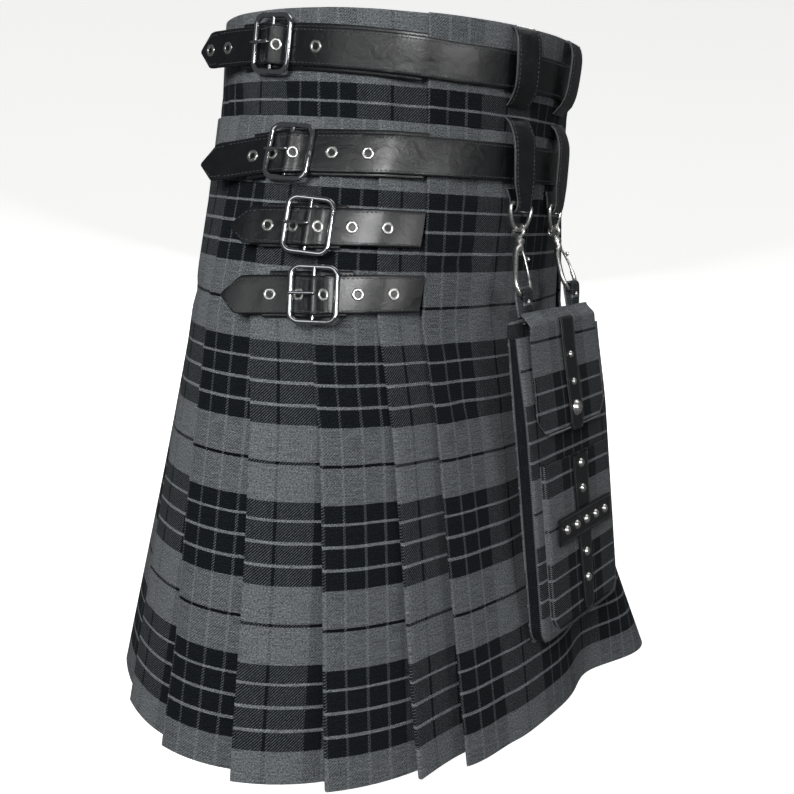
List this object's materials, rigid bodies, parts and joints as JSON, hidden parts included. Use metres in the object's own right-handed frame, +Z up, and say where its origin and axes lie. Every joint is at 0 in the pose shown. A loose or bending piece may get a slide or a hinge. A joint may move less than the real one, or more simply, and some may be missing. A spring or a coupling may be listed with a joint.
{
  "type": "utility kilt",
  "caption": "Worn, hollow utility kilt of dark tartan: knife pleats, flat front apron, buckled leather straps, belt loops with D-rings and a hung cargo pocket.",
  "frame": {"origin": "middle of the waist opening at the waistband's top edge", "axes": "+Z up, the wearer faces -Y, the wearer's right side is -X"},
  "size_m": [0.6155, 0.456, 0.6032],
  "materials": {
    "tartan_cloth": "twill woven wool and acrylic tartan, matte, dark charcoal and grey check with thin light and black lines",
    "leather": "black grained cowhide, semi-gloss, stitched near its edges",
    "chrome_metal": "bright plated cast zinc and steel wire",
    "stud_metal": "bright domed plated steel studs"
  },
  "bodies": {
    "root": {"waistband": "tartan_cloth", "pleated_skirt": "tartan_cloth", "over_apron": "tartan_cloth", "under_apron": "tartan_cloth", "strap_1": "leather", "strap_2": "leather", "strap_3": "leather", "strap_4": "leather", "base_strap_1": "leather", "base_strap_2": "leather", "base_strap_3": "leather", "base_strap_4": "leather", "buckle_1": "chrome_metal", "buckle_2": "chrome_metal", "buckle_3": "chrome_metal", "buckle_4": "chrome_metal", "prong_1": "chrome_metal", "prong_2": "chrome_metal", "prong_3": "chrome_metal", "prong_4": "chrome_metal", "upper_loop_1": "leather", "upper_loop_2": "leather", "lower_loop_1": "leather", "lower_loop_2": "leather", "d_ring_1": "chrome_metal", "d_ring_2": "chrome_metal", "snap_hook_1": "chrome_metal", "snap_hook_2": "chrome_metal", "pocket_back": "tartan_cloth", "pocket_front": "tartan_cloth", "patch_pocket": "tartan_cloth", "pocket_flap": "tartan_cloth", "pocket_tab_1": "tartan_cloth", "pocket_tab_2": "tartan_cloth", "flap_strip": "leather", "cross_long": "leather", "cross_short": "leather", "stud_cross_1": "stud_metal", "stud_cross_2": "stud_metal", "stud_cross_3": "stud_metal", "stud_cross_4": "stud_metal", "stud_cross_5": "stud_metal", "stud_cross_6": "stud_metal", "stud_cross_7": "stud_metal", "stud_cross_8": "stud_metal", "stud_cross_9": "stud_metal", "stud_flap_1": "stud_metal", "stud_flap_2": "stud_metal", "stud_flap_3": "stud_metal"}
  },
  "joints": []
}
